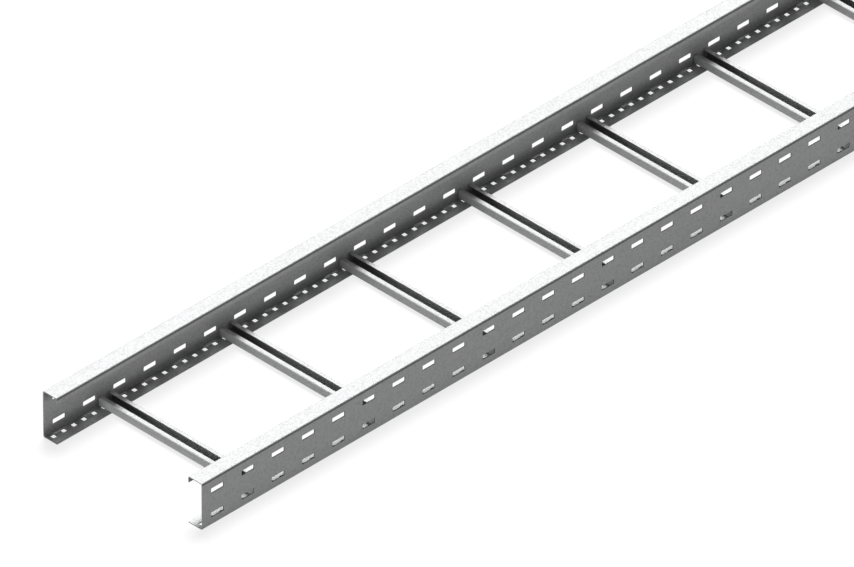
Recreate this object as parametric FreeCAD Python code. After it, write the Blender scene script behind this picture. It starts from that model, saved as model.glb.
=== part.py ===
import FreeCAD, Part
import os

# A cable ladder section of galvanised sheet steel: two folded side rails with rungs between them.
# Millimetres: X runs along the rails, Y across them, and Z up from the underside of the rails.

# The whole section
ladder_length = 3000.0
ladder_width = 400.0        # over the outer faces of the two side rails
rail_height = 100.0

# Side rail: a C folded from flat sheet, open towards the rungs
rail_sheet = 2.0
rail_bend = 2.0             # radius inside each fold
top_flange = 35.0
top_lip = 13.0              # turned down from the inner edge of the top flange
bottom_flange = 35.0

# Square-cornered slots through the web of each rail, in two rows, for coupler bolts and brackets
slot_pitch = 75.0
slot_length = 30.5
slot_width = 10.0
lower_row_height = 22.0
upper_row_height = 74.0

# Square hold-down holes through the bottom flange of each rail
hole_pitch = 25.0
hole_side = 9.5
hole_from_outside = 13.5    # centre of the row, from the outer face of the web

# Rung: a channel folded from lighter sheet, open upwards, with an inward lip on each side
rung_pitch = 300.0
rung_width = 35.0
rung_height = 18.0
rung_sheet = 1.5
rung_bend = 1.5
rung_mouth = 16.0
rung_fold_flats = 4         # the small folds of the rungs have this many flats in place of each arc
rung_end_clearance = 0.3    # from each end of a rung to the fold at the foot of the web

# How far a punch stands out of both faces of the sheet
punch_overrun = 1.0


def fold_edges(start, middle, end, flats):
    """One true arc, or some flats between the same ends."""
    arc = Part.Arc(start, middle, end).toShape()
    if flats:
        return Part.makePolygon(arc.discretize(flats + 1)).Edges
    return [arc]


def path_with_folds(corners, radius, flats):
    """Edges through the corners of a square-cornered path, with a fold in place of each corner."""
    edges = []
    start = corners[0]
    for before, corner, after in zip(corners, corners[1:], corners[2:]):
        inward = (corner - before).normalize()
        onward = (after - corner).normalize()
        arc_start = corner - inward * radius
        arc_end = corner + onward * radius
        centre = arc_start + onward * radius
        arc_middle = centre + (inward - onward).normalize() * radius
        edges.append(Part.makeLine(start, arc_start))
        edges.extend(fold_edges(arc_start, arc_middle, arc_end, flats))
        start = arc_end
    edges.append(Part.makeLine(start, corners[-1]))
    return edges


def folded_section(outside, sheet, bend, flats=None):
    """Face across a folded sheet, from the corners of its outer side; every fold turns the same way."""
    steps = [(after - before).normalize() for before, after in zip(outside, outside[1:])]
    inside = [outside[0] + steps[1] * sheet]
    for corner, step, next_step in zip(outside[1:], steps, steps[1:]):
        inside.append(corner + (next_step - step) * sheet)
    inside.append(outside[-1] - steps[-2] * sheet)
    inside.reverse()
    edges = path_with_folds(outside, bend + sheet, flats)
    edges.append(Part.makeLine(outside[-1], inside[0]))
    edges.extend(path_with_folds(inside, bend, flats))
    edges.append(Part.makeLine(inside[-1], outside[0]))
    return Part.Face(Part.Wire(edges))


def places_along(pitch):
    """X of every feature of a row that is centred on the length of the rail."""
    count = int(ladder_length // pitch)
    return [(number - (count - 1) / 2) * pitch for number in range(count)]


def web_slot(x, z):
    """Punch for one slot through the web of the front rail."""
    corner = FreeCAD.Vector(x - slot_length / 2, -ladder_width / 2 - punch_overrun, z - slot_width / 2)
    return Part.makeBox(slot_length, rail_sheet + 2 * punch_overrun, slot_width, corner)


def flange_hole(x):
    """Punch for one square hole through the bottom flange of the front rail."""
    row = hole_from_outside - ladder_width / 2
    corner = FreeCAD.Vector(x - hole_side / 2, row - hole_side / 2, -punch_overrun)
    return Part.makeBox(hole_side, hole_side, rail_sheet + 2 * punch_overrun, corner)


def front_rail():
    """Side rail on the -Y side: web outside, both flanges turned in under and over the rungs."""
    outside = [
        FreeCAD.Vector(-ladder_length / 2, inwards - ladder_width / 2, height)
        for inwards, height in [
            (top_flange, rail_height - top_lip),
            (top_flange, rail_height),
            (0, rail_height),
            (0, 0),
            (bottom_flange, 0),
        ]
    ]
    section = folded_section(outside, rail_sheet, rail_bend)
    rail = section.extrude(FreeCAD.Vector(ladder_length, 0, 0))
    punches = [web_slot(x, lower_row_height) for x in places_along(slot_pitch)]
    punches += [web_slot(x, upper_row_height) for x in places_along(slot_pitch)]
    punches += [flange_hole(x) for x in places_along(hole_pitch)]
    return rail.cut(punches)


def rung(x):
    """Rung that lies on the two bottom flanges and stops short of the folds at the foot of the webs."""
    end = ladder_width / 2 - rail_sheet - rail_bend - rung_end_clearance
    outside = [
        FreeCAD.Vector(x + along, -end, rail_sheet + height)
        for along, height in [
            (rung_mouth / 2, rung_height),
            (rung_width / 2, rung_height),
            (rung_width / 2, 0),
            (-rung_width / 2, 0),
            (-rung_width / 2, rung_height),
            (-rung_mouth / 2, rung_height),
        ]
    ]
    section = folded_section(outside, rung_sheet, rung_bend, rung_fold_flats)
    return section.extrude(FreeCAD.Vector(0, 2 * end, 0))


os.makedirs("parts", exist_ok=True)

front = front_rail()
front.exportStep("parts/side_rail_front.step")

back = front.mirror(FreeCAD.Vector(0, 0, 0), FreeCAD.Vector(0, 1, 0))
back.exportStep("parts/side_rail_back.step")

for number, x in enumerate(places_along(rung_pitch), start=1):
    rung(x).exportStep("parts/rung_%02d.step" % number)
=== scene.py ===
import bmesh
import bpy
from math import copysign, cos, pi, radians, sin
from mathutils import Matrix, Vector


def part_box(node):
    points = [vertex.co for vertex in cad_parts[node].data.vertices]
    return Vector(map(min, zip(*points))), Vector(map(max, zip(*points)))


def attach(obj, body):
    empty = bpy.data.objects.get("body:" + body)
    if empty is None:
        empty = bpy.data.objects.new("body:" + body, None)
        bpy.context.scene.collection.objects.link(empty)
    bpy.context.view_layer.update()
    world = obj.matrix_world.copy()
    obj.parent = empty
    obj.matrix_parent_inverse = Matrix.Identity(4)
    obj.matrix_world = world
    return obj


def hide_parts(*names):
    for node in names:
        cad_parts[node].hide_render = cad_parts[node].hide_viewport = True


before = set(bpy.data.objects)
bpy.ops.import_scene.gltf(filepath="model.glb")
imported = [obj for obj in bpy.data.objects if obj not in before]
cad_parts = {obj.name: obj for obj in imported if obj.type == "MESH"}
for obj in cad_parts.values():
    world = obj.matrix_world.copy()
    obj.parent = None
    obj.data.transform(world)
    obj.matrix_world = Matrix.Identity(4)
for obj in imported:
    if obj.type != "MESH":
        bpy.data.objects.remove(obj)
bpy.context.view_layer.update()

# Side rails. Each is one strip of 2 mm galvanised sheet, punched flat with two rows of square-cornered
# slots for coupler bolts and one row of square hold-down holes, then folded into a C that opens to the
# rungs. The back rail mirrors the front one, and the rungs lie on the bottom flanges of both.
LADDER_LENGTH = 3.0
HALF_WIDTH = 0.2
RAIL_HEIGHT = 0.1
RAIL_SHEET = 0.002
RAIL_FOLD_RADIUS = 0.004        # outside of the fold
RAIL_FOLD_STEPS = 8
TOP_FLANGE = 0.035
TOP_LIP = 0.013
BOTTOM_FLANGE = 0.035
SLOT_PITCH = 0.075
SLOT_LENGTH = 0.0305
SLOT_WIDTH = 0.010
SLOT_ROWS = (0.022, 0.074)
HOLE_PITCH = 0.025
HOLE_SIDE = 0.0095
HOLE_FROM_OUTSIDE = 0.0135
HOLES_BY_SLOT = (-1, 0, 1)      # places of the holes under one slot, in steps of their pitch
PUNCH_CORNER = 0.0007           # radius that the punch leaves in the corners of slots and holes
PUNCH_CIRCLE_SIDES = 12         # of the small circle that is drawn apart into an opening
RIM_BREAK = 0.00022             # how far a punch or shear rounds the rim of a cut
RIM_ANGLE = radians(60)         # edges sharper than this are rims
BESIDE_FOLD_STEPS = 2           # strips of the flat beside a fold, as wide as those of the fold itself
RUNG_PITCH = 0.3                # the rungs that stand in the rails
RUNG_WIDTH = 0.035
RUNG_HEIGHT = 0.018
JOIN_DISTANCE = 1e-6
CUT_EDGE, INSIDE = 1, 2         # material slots of a folded sheet, after 0 for its outside
FLAT_FACE_WEIGHT = 100          # lets the wide flats set the shading, and not the folds beside them


def fold_strip_width(radius, steps):
    """Width of one of the narrow strips that stand for the arc of a fold."""
    return 2 * radius * sin(pi / 4 / steps)


def band(sheet, low, high, length, strips):
    """A bare band of flat sheet between two heights, in the plane Y = 0, divided into strips."""
    made = bmesh.ops.create_grid(sheet, x_segments=1, y_segments=strips, size=0.5)["verts"]
    bmesh.ops.scale(sheet, vec=(length, high - low, 1), verts=made)
    bmesh.ops.rotate(sheet, matrix=Matrix.Rotation(pi / 2, 3, "X"), verts=made)
    bmesh.ops.translate(sheet, vec=(0, 0, (low + high) / 2), verts=made)
    return made


def outline(sheet, torn, x, height, length, width):
    """Edges of a punched oblong in the plane Y = 0: a small circle drawn apart at its four quarters."""
    made = bmesh.ops.create_circle(sheet, segments=PUNCH_CIRCLE_SIDES,
                                   radius=PUNCH_CORNER / cos(pi / PUNCH_CIRCLE_SIDES))["verts"]
    bmesh.ops.rotate(sheet, matrix=Matrix.Rotation(pi / PUNCH_CIRCLE_SIDES, 3, "Z"), verts=made)
    for vert in made:
        vert.co.x += copysign(length / 2 - PUNCH_CORNER, vert.co.x)
        vert.co.y += copysign(width / 2 - PUNCH_CORNER, vert.co.y)
        vert[torn] = 1.0
    bmesh.ops.rotate(sheet, matrix=Matrix.Rotation(pi / 2, 3, "X"), verts=made)
    bmesh.ops.translate(sheet, vec=(x, 0, height), verts=made)
    return list(dict.fromkeys(edge for vert in made for edge in vert.link_edges))


def punched_band(sheet, low, high, length, openings):
    """A band of flat sheet between two heights with openings (x, height, length, width) through it."""
    border = band(sheet, low, high, length, 1)
    edges = list(dict.fromkeys(edge for vert in border for edge in vert.link_edges))
    bmesh.ops.delete(sheet, geom=border[0].link_faces[:], context="FACES_ONLY")
    torn = sheet.verts.layers.float["torn"]
    for opening in openings:
        edges += outline(sheet, torn, *opening)
    bmesh.ops.triangle_fill(sheet, edges=edges, use_beauty=True)


def fold(sheet, flat_height, line, away, radius, steps, inwards, at):
    """Folds what lies beyond a line of the flat sheet by a quarter turn; the sheet stands at Y = at."""
    strip = fold_strip_width(radius, steps)
    quarter = pi / 2 / steps
    for step in reversed(range(steps + 1)):
        height = line + away * strip * step
        beyond = [v for v in sheet.verts if (flat_height[v] - height) * away > JOIN_DISTANCE]
        turn = quarter / 2 if step in (0, steps) else quarter
        bmesh.ops.rotate(sheet, cent=(0, at, height), verts=beyond,
                         matrix=Matrix.Rotation(-away * inwards * turn, 3, "X"))


def mark_worked(sheet, flat_height, upright, away, radius, steps):
    """Marks the half of a fold on its upright side, and a little of the sheet beside it, as stretched."""
    worked = sheet.verts.layers.float["worked"]
    strip = fold_strip_width(radius, steps)
    for vert in sheet.verts:
        into = (flat_height[vert] - upright) * away / strip
        full = min(1.0, into + BESIDE_FOLD_STEPS, steps / 2 + 1 - into)
        vert[worked] = max(vert[worked], full)


def skin_object(name, sheet, thickness):
    """Object made from the outer skin of a folded part, given its thickness inwards and broken rims."""
    bmesh.ops.recalc_face_normals(sheet, faces=sheet.faces)
    mesh = bpy.data.meshes.new(name)
    for face in sheet.faces:
        face.smooth = True
    sheet.to_mesh(mesh)
    sheet.free()
    piece = bpy.data.objects.new(name, mesh)
    bpy.context.scene.collection.objects.link(piece)
    wall = piece.modifiers.new("sheet thickness", "SOLIDIFY")
    wall.thickness = thickness
    wall.offset = -1
    wall.use_even_offset = True
    wall.material_offset = INSIDE
    wall.material_offset_rim = CUT_EDGE
    rim = piece.modifiers.new("broken rims", "BEVEL")
    rim.limit_method = "ANGLE"
    rim.angle_limit = RIM_ANGLE
    rim.width = RIM_BREAK
    rim.segments = 1
    rim.profile = 0.5
    rim.material = CUT_EDGE
    even = piece.modifiers.new("flat faces", "WEIGHTED_NORMAL")
    even.weight = FLAT_FACE_WEIGHT
    even.keep_sharp = True
    return piece


def side_rail(name, side):
    """One rail, folded from its punched strip; side is -1 for the front rail and 1 for the back rail."""
    sheet = bmesh.new()
    sheet.verts.layers.float.new("torn")
    sheet.verts.layers.float.new("worked")
    strip = fold_strip_width(RAIL_FOLD_RADIUS, RAIL_FOLD_STEPS)
    arc = RAIL_FOLD_STEPS * strip
    beside = BESIDE_FOLD_STEPS * strip
    foot = RAIL_FOLD_RADIUS
    head = RAIL_HEIGHT - RAIL_FOLD_RADIUS
    flange_edge = foot - arc - (BOTTOM_FLANGE - RAIL_FOLD_RADIUS)
    lip_fold = head + arc + TOP_FLANGE - 2 * RAIL_FOLD_RADIUS
    lip_edge = lip_fold + arc + TOP_LIP - RAIL_FOLD_RADIUS

    # One module of the strip, as long as the pitch of the slots, and then all of them in line
    hole_row = flange_edge + BOTTOM_FLANGE - HOLE_FROM_OUTSIDE
    holes = [(step * HOLE_PITCH, hole_row, HOLE_SIDE, HOLE_SIDE) for step in HOLES_BY_SLOT]
    slots = [(0, slot_row, SLOT_LENGTH, SLOT_WIDTH) for slot_row in SLOT_ROWS]
    punched_band(sheet, flange_edge, foot - arc, SLOT_PITCH, holes)
    band(sheet, foot - arc, foot, SLOT_PITCH, RAIL_FOLD_STEPS)
    punched_band(sheet, foot, head - beside, SLOT_PITCH, slots)
    band(sheet, head - beside, head + arc, SLOT_PITCH, BESIDE_FOLD_STEPS + RAIL_FOLD_STEPS)
    band(sheet, head + arc, lip_fold, SLOT_PITCH, 1)
    band(sheet, lip_fold, lip_fold + arc + beside, SLOT_PITCH, RAIL_FOLD_STEPS + BESIDE_FOLD_STEPS)
    band(sheet, lip_fold + arc + beside, lip_edge, SLOT_PITCH, 1)
    web = side * HALF_WIDTH
    bmesh.ops.translate(sheet, verts=sheet.verts, vec=((SLOT_PITCH - LADDER_LENGTH) / 2, web, 0))
    modules = round(LADDER_LENGTH / SLOT_PITCH)
    bmesh.ops.spin(sheet, geom=sheet.faces[:], cent=(0, 0, 0), axis=(1, 0, 0), angle=0,
                   dvec=(SLOT_PITCH, 0, 0), steps=modules - 1, use_duplicate=True)
    bmesh.ops.remove_doubles(sheet, verts=sheet.verts, dist=JOIN_DISTANCE)

    flat_height = {vert: vert.co.z for vert in sheet.verts}
    mark_worked(sheet, flat_height, head, 1, RAIL_FOLD_RADIUS, RAIL_FOLD_STEPS)
    mark_worked(sheet, flat_height, lip_fold + arc, -1, RAIL_FOLD_RADIUS, RAIL_FOLD_STEPS)
    for line, away in ((foot, -1), (lip_fold, 1), (head, 1)):
        fold(sheet, flat_height, line, away, RAIL_FOLD_RADIUS, RAIL_FOLD_STEPS, -side, web)
    return skin_object(name, sheet, RAIL_SHEET)


# The zinc of the rails, which the rungs have too
ZINC = (0.452, 0.455, 0.458)
EDGE_METAL = (0.33, 0.332, 0.335)
ZINC_METALLIC = 0.03
ZINC_ROUGHNESS = 0.6
CRYSTALS_PER_METRE = 420.0
CRYSTAL_CONTRAST = 0.42
BRIGHTEST_CRYSTAL = 1.03
CRYSTAL_GLOSS_SPREAD = 0.1
BORDER_WAVE_SCALE = 260.0       # waves that bend the borders of the crystals
BORDER_WAVE_REACH = 0.006
FROST_SCALE = 900.0             # fine frost over the crystals
FROST_SHARE = 0.35
STREAK_CONTRAST = 0.105
FINE_STREAK_SCALE = 1500.0
BROAD_STREAK_SCALE = 70.0
ALONG_RAIL = (0.02, 1.0, 1.0)   # draws the streaks out along X
DOWN_A_CUT = (1.0, 1.0, 0.1)    # draws them out along Z, but less
STREAK_RELIEF = 0.5             # height of the streaks in the bump, where that of the crystals is 1
BUMP_STRENGTH = 0.12
BUMP_DISTANCE = 0.0002
DULL_ROUGHNESS = 0.12           # what a full mark adds to the roughness
FOLD_DARKNESS = 0.72            # share of the tone that a full mark takes away
# the next is the share of the tone that the painted shade in the foot of a rail takes away
FOOT_SHADE_DARKNESS = 0.6
TORN_DARKNESS = 0.75
CORNER_SHADE_REACH = 0.03        # how far the painted shade reaches from the corner at the foot of the web
RUNG_SHADE_REACH = 0.04          # how far it reaches from a rung
RUNG_SHADE_SHARE = 0.5           # its mark at a rung, where that in the corner is 1


def group_tree(name, inputs, outputs):
    """A shader node group with named inputs (name, kind, value) and outputs (name, kind)."""
    tree = bpy.data.node_groups.new(name, "ShaderNodeTree")
    for label, kind, value in inputs:
        socket = tree.interface.new_socket(label, in_out="INPUT", socket_type="NodeSocket" + kind)
        if value is not None:
            socket.default_value = value
    for label, kind in outputs:
        tree.interface.new_socket(label, in_out="OUTPUT", socket_type="NodeSocket" + kind)
    return tree, tree.nodes.new("NodeGroupInput").outputs, tree.nodes.new("NodeGroupOutput").inputs


def put(tree, kind, sockets, **settings):
    """A node with its settings made and each named input set to a value or joined to an output."""
    made = tree.nodes.new("ShaderNode" + kind)
    for name, value in settings.items():
        setattr(made, name, value)
    for socket, value in sockets.items():
        if isinstance(value, bpy.types.NodeSocket):
            tree.links.new(value, made.inputs[socket])
        else:
            made.inputs[socket].default_value = value
    return made.outputs


def reckon(tree, operation, *values):
    """Output of a Math node on numbers or outputs."""
    return put(tree, "Math", dict(enumerate(values)), operation=operation)[0]


def fade(tree, distance, reach, most):
    """Output that falls smoothly from its most at no distance to 0 at its reach."""
    return put(tree, "MapRange", {"Value": distance, "From Max": reach, "To Min": most, "To Max": 0.0},
               interpolation_type="SMOOTHSTEP")[0]


def zinc_spangle():
    """Crystals of a hot-dip zinc coat: nearly half are bright alike, and the others are darker."""
    tree, given, out = group_tree(
        "zinc_spangle",
        [("Vector", "Vector", None), ("Cells per metre", "Float", CRYSTALS_PER_METRE),
         ("Contrast", "Float", CRYSTAL_CONTRAST), ("Brightest", "Float", BRIGHTEST_CRYSTAL),
         ("Roughness", "Float", ZINC_ROUGHNESS), ("Roughness spread", "Float", CRYSTAL_GLOSS_SPREAD)],
        [("Tone", "Float"), ("Roughness", "Float"), ("Height", "Float")])
    wave = put(tree, "TexNoise", {"Vector": given["Vector"], "Scale": BORDER_WAVE_SCALE,
                                  "Detail": 2.0})["Color"]
    wave = put(tree, "VectorMath", {0: wave, 1: (0.5, 0.5, 0.5)}, operation="SUBTRACT")[0]
    wave = put(tree, "VectorMath", {0: wave, "Scale": BORDER_WAVE_REACH}, operation="SCALE")[0]
    bent = put(tree, "VectorMath", {0: given["Vector"], 1: wave}, operation="ADD")[0]
    crystal = put(tree, "TexVoronoi", {"Vector": bent, "Scale": given["Cells per metre"]})
    shade = put(tree, "SeparateColor", {0: crystal["Color"]})
    frost = put(tree, "TexNoise", {"Vector": given["Vector"], "Scale": FROST_SCALE, "Detail": 3.0})[0]
    mixed = reckon(tree, "MULTIPLY_ADD", frost, FROST_SHARE, shade[0])
    centred = reckon(tree, "SUBTRACT", mixed, (1.0 + FROST_SHARE) / 2)
    tone = reckon(tree, "MULTIPLY_ADD", centred, given["Contrast"], 1.0)
    tone = reckon(tree, "MINIMUM", tone, given["Brightest"])
    dull = reckon(tree, "SUBTRACT", shade[1], 0.5)
    rough = reckon(tree, "MULTIPLY_ADD", dull, given["Roughness spread"], given["Roughness"])
    tree.links.new(tone, out["Tone"])
    tree.links.new(rough, out["Roughness"])
    tree.links.new(mixed, out["Height"])
    return tree


def rolled_streaks():
    """Fine lines that the rolling mill leaves along a sheet, and broad soft bands between them."""
    tree, given, out = group_tree(
        "rolled_streaks",
        [("Vector", "Vector", None), ("Along", "Vector", (1.0, 1.0, 1.0)),
         ("Strength", "Float", STREAK_CONTRAST)],
        [("Tone", "Float"), ("Height", "Float")])
    drawn = put(tree, "VectorMath", {0: given["Vector"], 1: given["Along"]}, operation="MULTIPLY")[0]
    fine = put(tree, "TexNoise", {"Vector": drawn, "Scale": FINE_STREAK_SCALE, "Detail": 3.0})[0]
    broad = put(tree, "TexNoise", {"Vector": drawn, "Scale": BROAD_STREAK_SCALE, "Detail": 2.0})[0]
    both = reckon(tree, "ADD", fine, broad)
    centred = reckon(tree, "SUBTRACT", both, 1.0)
    tone = reckon(tree, "MULTIPLY_ADD", centred, given["Strength"], 1.0)
    tree.links.new(tone, out["Tone"])
    tree.links.new(fine, out["Height"])
    return tree


def dulled_and_shaded_zinc():
    """Zinc that a fold stretched or a punch tore, or that carries painted shade: darker and duller than the
    rest.
    """
    tree, given, out = group_tree(
        "dulled_and_shaded_zinc",
        [("Mark", "Float", 0.0), ("Tone", "Float", 1.0), ("Roughness", "Float", ZINC_ROUGHNESS),
         ("Darkness", "Float", 0.0)],
        [("Tone", "Float"), ("Roughness", "Float")])
    loss = reckon(tree, "MULTIPLY", given["Mark"], given["Darkness"])
    left = reckon(tree, "SUBTRACT", 1.0, loss)
    tone = reckon(tree, "MULTIPLY", given["Tone"], left)
    rough = reckon(tree, "MULTIPLY_ADD", given["Mark"], DULL_ROUGHNESS, given["Roughness"])
    tree.links.new(tone, out["Tone"])
    tree.links.new(rough, out["Roughness"])
    return tree


def painted_shade_in_foot():
    """Painted shade, darker along the inner corner at the foot of a rail and round each rung's end."""
    tree, given, out = group_tree(
        "painted_shade_in_foot",
        [("Vector", "Vector", None), ("Corner reach", "Float", CORNER_SHADE_REACH),
         ("Rung reach", "Float", RUNG_SHADE_REACH), ("Rung share", "Float", RUNG_SHADE_SHARE)],
        [("Mask", "Float")])
    place = put(tree, "SeparateXYZ", {0: given["Vector"]})
    outwards = reckon(tree, "ABSOLUTE", place["Y"])
    from_web = reckon(tree, "SUBTRACT", HALF_WIDTH - RAIL_SHEET, outwards)
    above = reckon(tree, "SUBTRACT", place["Z"], RAIL_SHEET)
    from_corner = reckon(tree, "MAXIMUM", from_web, above)
    corner = fade(tree, from_corner, given["Corner reach"], 1.0)
    from_bay_middle = reckon(tree, "PINGPONG", place["X"], RUNG_PITCH / 2)
    beside = reckon(tree, "SUBTRACT", (RUNG_PITCH - RUNG_WIDTH) / 2, from_bay_middle)
    beside = reckon(tree, "MAXIMUM", beside, 0.0)
    over = reckon(tree, "SUBTRACT", above, RUNG_HEIGHT)
    over = reckon(tree, "MAXIMUM", over, 0.0)
    apart = put(tree, "CombineXYZ", {0: beside, 1: 0.0, 2: over})[0]
    from_rung = put(tree, "VectorMath", {0: apart}, operation="LENGTH")["Value"]
    ring = fade(tree, from_rung, given["Rung reach"], given["Rung share"])
    mask = reckon(tree, "MAXIMUM", corner, ring)
    tree.links.new(mask, out["Mask"])
    return tree


SPANGLE = zinc_spangle()
STREAKS = rolled_streaks()
DULLED_AND_SHADED = dulled_and_shaded_zinc()
FOOT_PAINTED_SHADE = painted_shade_in_foot()


def stretched(tree, place):
    """Mark left by a fold."""
    return put(tree, "Attribute", {}, attribute_name="worked")["Fac"]


def torn(tree, place):
    """Mark left by a punch on the walls of its opening."""
    return put(tree, "Attribute", {}, attribute_name="torn")["Fac"]


def painted_foot_shade(tree, place):
    """Mark of the painted shade in the foot of a rail."""
    return put(tree, "Group", {"Vector": place}, node_tree=FOOT_PAINTED_SHADE)["Mask"]


def galvanised(name, colour, along, mark, darkness):
    """Galvanised sheet: light zinc with crystals, streaks along the way it was rolled, and darker, duller
    marks, some of which are painted shade.
    """
    material = bpy.data.materials.new(name)
    material.use_nodes = True
    tree = material.node_tree
    shader = tree.nodes["Principled BSDF"]
    place = put(tree, "TexCoord", {})["Object"]
    spangle = put(tree, "Group", {"Vector": place, "Contrast": CRYSTAL_CONTRAST,
                                  "Roughness": ZINC_ROUGHNESS}, node_tree=SPANGLE)
    streaks = put(tree, "Group", {"Vector": place, "Along": along, "Strength": STREAK_CONTRAST},
                  node_tree=STREAKS)
    tone = reckon(tree, "MULTIPLY", spangle["Tone"], streaks["Tone"])
    dulled_and_shaded = put(tree, "Group", {"Mark": mark(tree, place), "Tone": tone, "Roughness": spangle["Roughness"],
                                 "Darkness": darkness}, node_tree=DULLED_AND_SHADED)
    shaded = put(tree, "VectorMath", {0: colour, "Scale": dulled_and_shaded["Tone"]}, operation="SCALE")[0]
    height = reckon(tree, "MULTIPLY_ADD", streaks["Height"], STREAK_RELIEF, spangle["Height"])
    bump = put(tree, "Bump", {"Height": height, "Strength": BUMP_STRENGTH, "Distance": BUMP_DISTANCE})[0]
    tree.links.new(shaded, shader.inputs["Base Color"])
    tree.links.new(dulled_and_shaded["Roughness"], shader.inputs["Roughness"])
    tree.links.new(bump, shader.inputs["Normal"])
    shader.inputs["Metallic"].default_value = ZINC_METALLIC
    return material


RAIL_OUTSIDE = galvanised("rail zinc outside", ZINC, ALONG_RAIL, stretched, FOLD_DARKNESS)
# Painted shade darkens the inside of a rail in the corner at its foot and round the rungs' ends
RAIL_INSIDE = galvanised("rail zinc inside", ZINC, ALONG_RAIL, painted_foot_shade, FOOT_SHADE_DARKNESS)
SHEARED_EDGE = galvanised("sheared edge zinc", EDGE_METAL, DOWN_A_CUT, torn, TORN_DARKNESS)

rails = [side_rail("side_rail_front_sheet", -1), side_rail("side_rail_back_sheet", 1)]
for rail, node in zip(rails, ("side_rail_front", "side_rail_back")):
    for material in (RAIL_OUTSIDE, SHEARED_EDGE, RAIL_INSIDE):
        rail.data.materials.append(material)
    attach(rail, "root")
    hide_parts(node)

# Rungs. Each is a strip of 1.5 mm galvanised sheet folded to a channel with an inward lip on both sides,
# open upwards, so that cleats and ties can be fixed anywhere along it. Its ends lie on the bottom flanges.
RUNG_COUNT = 10
RUNG_SHEET = 0.0015
RUNG_FOLD_RADIUS = 0.003
RUNG_FOLD_STEPS = 7
RUNG_MOUTH = 0.016
RUNG_END_CLEARANCE = 0.0003
ALONG_RUNG = (1.0, 0.02, 1.0)   # draws the streaks out along Y
# the next is the share of the tone that fold marks and the painted shade take away on the outside of a rung
WALL_FOLD_AND_SHADE_DARKNESS = 0.35
WALL_SHADE_REACH = 0.05          # how far the painted shade reaches from the web of a rail
WALL_FOLD_SHARE = 0.4           # mark of the folds, where that of the painted shade at the web is 1
# the next is the share of the tone that the painted shade takes away inside a rung
CHANNEL_SHADE_DARKNESS = 0.7
CHANNEL_SHADE_REACH = 0.15


def rung(name, x):
    """One rung, folded from a bare strip and then turned so that its length runs across the ladder."""
    sheet = bmesh.new()
    sheet.verts.layers.float.new("worked")
    arc = RUNG_FOLD_STEPS * fold_strip_width(RUNG_FOLD_RADIUS, RUNG_FOLD_STEPS)
    length = 2 * (HALF_WIDTH - RAIL_FOLD_RADIUS - RUNG_END_CLEARANCE)
    base = RUNG_WIDTH / 2 - RUNG_FOLD_RADIUS
    shoulder = base + arc + RUNG_HEIGHT - 2 * RUNG_FOLD_RADIUS
    lip = shoulder + arc + (RUNG_WIDTH - RUNG_MOUTH) / 2 - RUNG_FOLD_RADIUS
    band(sheet, -base, base, length, 1)
    for away in (-1, 1):
        for low, high, strips in ((base, base + arc, RUNG_FOLD_STEPS), (base + arc, shoulder, 1),
                                  (shoulder, shoulder + arc, RUNG_FOLD_STEPS), (shoulder + arc, lip, 1)):
            band(sheet, away * low, away * high, length, strips)
    bmesh.ops.remove_doubles(sheet, verts=sheet.verts, dist=JOIN_DISTANCE)

    flat_height = {vert: vert.co.z for vert in sheet.verts}
    for away in (-1, 1):
        mark_worked(sheet, flat_height, away * shoulder, away, RUNG_FOLD_RADIUS, RUNG_FOLD_STEPS)
    for line in (shoulder, base):
        for away in (-1, 1):
            fold(sheet, flat_height, away * line, away, RUNG_FOLD_RADIUS, RUNG_FOLD_STEPS, 1, 0)

    # A third of a turn about a cube's corner line takes X to Y, Y to Z and Z to X
    bmesh.ops.rotate(sheet, verts=sheet.verts, matrix=Matrix.Rotation(2 * pi / 3, 3, Vector((1, 1, 1))))
    bmesh.ops.translate(sheet, verts=sheet.verts, vec=(x, 0, RAIL_SHEET))
    return skin_object(name, sheet, RUNG_SHEET)


def painted_shade_at_ends():
    """Painted shade, darker towards both ends of a rung, under the rails."""
    tree, given, out = group_tree(
        "painted_shade_at_ends",
        [("Vector", "Vector", None), ("Reach", "Float", WALL_SHADE_REACH)],
        [("Mask", "Float")])
    across = put(tree, "SeparateXYZ", {0: given["Vector"]})["Y"]
    outwards = reckon(tree, "ABSOLUTE", across)
    from_web = reckon(tree, "SUBTRACT", HALF_WIDTH, outwards)
    mask = fade(tree, from_web, given["Reach"], 1.0)
    tree.links.new(mask, out["Mask"])
    return tree


END_PAINTED_SHADE = painted_shade_at_ends()


def folds_and_shaded_wall(tree, place):
    """Mark of a fold, and of the painted shade on the outside of a rung close to its ends."""
    end_shade = put(tree, "Group", {"Vector": place, "Reach": WALL_SHADE_REACH}, node_tree=END_PAINTED_SHADE)["Mask"]
    folds = reckon(tree, "MULTIPLY", stretched(tree, place), WALL_FOLD_SHARE)
    return reckon(tree, "MAXIMUM", end_shade, folds)


def shaded_channel(tree, place):
    """Mark of the painted shade inside a rung, which reaches further in."""
    return put(tree, "Group", {"Vector": place, "Reach": CHANNEL_SHADE_REACH}, node_tree=END_PAINTED_SHADE)["Mask"]


# Painted shade darkens each rung towards both ends, reaching further in on its inside than on its outside
RUNG_OUTSIDE = galvanised("rung zinc outside", ZINC, ALONG_RUNG, folds_and_shaded_wall, WALL_FOLD_AND_SHADE_DARKNESS)
RUNG_INSIDE = galvanised("rung zinc inside", ZINC, ALONG_RUNG, shaded_channel, CHANNEL_SHADE_DARKNESS)
for number in range(1, RUNG_COUNT + 1):
    node = "rung_%02d" % number
    low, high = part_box(node)
    piece = rung(node + "_channel", (low.x + high.x) / 2)
    for material in (RUNG_OUTSIDE, SHEARED_EDGE, RUNG_INSIDE):
        piece.data.materials.append(material)
    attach(piece, "root")
    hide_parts(node)

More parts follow.
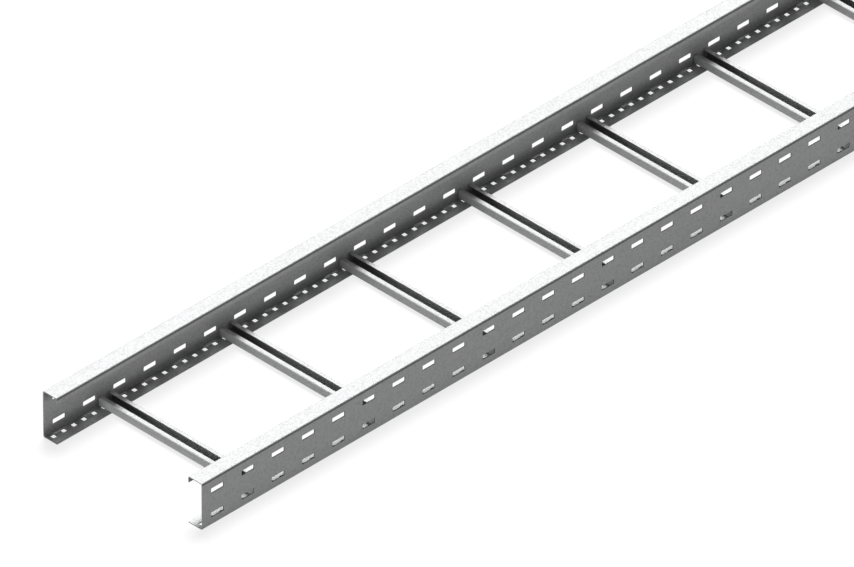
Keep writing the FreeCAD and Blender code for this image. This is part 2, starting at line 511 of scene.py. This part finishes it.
# Floor. A plain white studio floor, which the section lies on. To the eye and in reflections it is white
# paper with the soft shadow of the section on it, and it throws only a little light back.
FLOOR_SIZE = 30.0
FLOOR_GREY = (0.13, 0.13, 0.13, 1.0)
FLOOR_WHITE = 0.80
WHITE = (1.0, 1.0, 1.0, 1.0)


def seen_rays(tree):
    """1 for rays that look at a thing, straight or in a reflection or through glass, and 0 for light."""
    path = put(tree, "LightPath", {})
    seen = reckon(tree, "MAXIMUM", path["Is Camera Ray"], path["Is Glossy Ray"])
    return reckon(tree, "MAXIMUM", seen, path["Is Transmission Ray"])


ground = bmesh.new()
bmesh.ops.create_grid(ground, x_segments=1, y_segments=1, size=FLOOR_SIZE / 2)
mesh = bpy.data.meshes.new("floor")
ground.to_mesh(mesh)
ground.free()
floor = bpy.data.objects.new("floor", mesh)
bpy.context.scene.collection.objects.link(floor)
paper = bpy.data.materials.new("white paper")
paper.use_nodes = True
tree = paper.node_tree
shader = tree.nodes["Principled BSDF"]
shader.inputs["Base Color"].default_value = FLOOR_GREY
shader.inputs["Roughness"].default_value = 1.0
shader.inputs["Specular IOR Level"].default_value = 0.0
shader.inputs["Emission Color"].default_value = WHITE
white = reckon(tree, "MULTIPLY", seen_rays(tree), FLOOR_WHITE)
tree.links.new(white, shader.inputs["Emission Strength"])
floor.data.materials.append(paper)

# Studio. White all round to the eye, a low even light from every side, one broad lamp high above that leans
# to the far end and the back rail, and two faint lamps low down, one before the near end and one before the
# front rail, which lift the upright faces that the high lamp doesn't reach.
SKY_LIGHT = 0.13
LAMP_STRENGTH = 5.5
LAMP_SPREAD = radians(25)
LAMP_FROM = Vector((0.34, 0.26, 1.0))
END_FILL_STRENGTH = 1.5
END_FILL_FROM = Vector((-1.0, 0.05, 0.12))
SIDE_FILL_STRENGTH = 0.67
SIDE_FILL_FROM = Vector((-0.05, -1.0, 0.24))
FILL_SPREAD = radians(20)

studio = bpy.data.worlds.new("studio")
bpy.context.scene.world = studio
studio.use_nodes = True
tree = studio.node_tree
background = tree.nodes["Background"]
background.inputs["Color"].default_value = WHITE
light = put(tree, "MapRange", {"Value": seen_rays(tree), "To Min": SKY_LIGHT, "To Max": 1.0})[0]
tree.links.new(light, background.inputs["Strength"])

for name, strength, spread, place in (("overhead lamp", LAMP_STRENGTH, LAMP_SPREAD, LAMP_FROM),
                                      ("end fill lamp", END_FILL_STRENGTH, FILL_SPREAD, END_FILL_FROM),
                                      ("side fill lamp", SIDE_FILL_STRENGTH, FILL_SPREAD, SIDE_FILL_FROM)):
    lamp = bpy.data.lights.new(name, "SUN")
    lamp.energy = strength
    lamp.angle = spread
    hung = bpy.data.objects.new(name, lamp)
    hung.rotation_euler = place.to_track_quat("Z", "Y").to_euler()
    bpy.context.scene.collection.objects.link(hung)

# Camera. The picture is a parallel drawing with the three directions at equal angles, so a very long lens
# looks from far away along a corner-to-corner line of a cube.
LENS = 1120.0
SENSOR = 36.0
PICTURE_WIDTH = 1.5191          # metres across the picture at the middle of the view
LOOK_AT = Vector((-0.68997, 0.05232, 0.0))
BACK = Vector((-1.0, -1.0, 1.0)).normalized()
CLIP_TIMES = 4                  # how many times nearer and farther than the section the camera sees

camera = bpy.data.cameras.new("camera")
camera.lens = LENS
camera.sensor_width = SENSOR
distance = PICTURE_WIDTH * LENS / SENSOR
camera.clip_start = distance / CLIP_TIMES
camera.clip_end = distance * CLIP_TIMES
viewer = bpy.data.objects.new("camera", camera)
viewer.location = LOOK_AT + BACK * distance
viewer.rotation_euler = BACK.to_track_quat("Z", "Y").to_euler()
bpy.context.scene.collection.objects.link(viewer)
bpy.context.scene.camera = viewer
bpy.context.scene.view_settings.view_transform = "Standard"
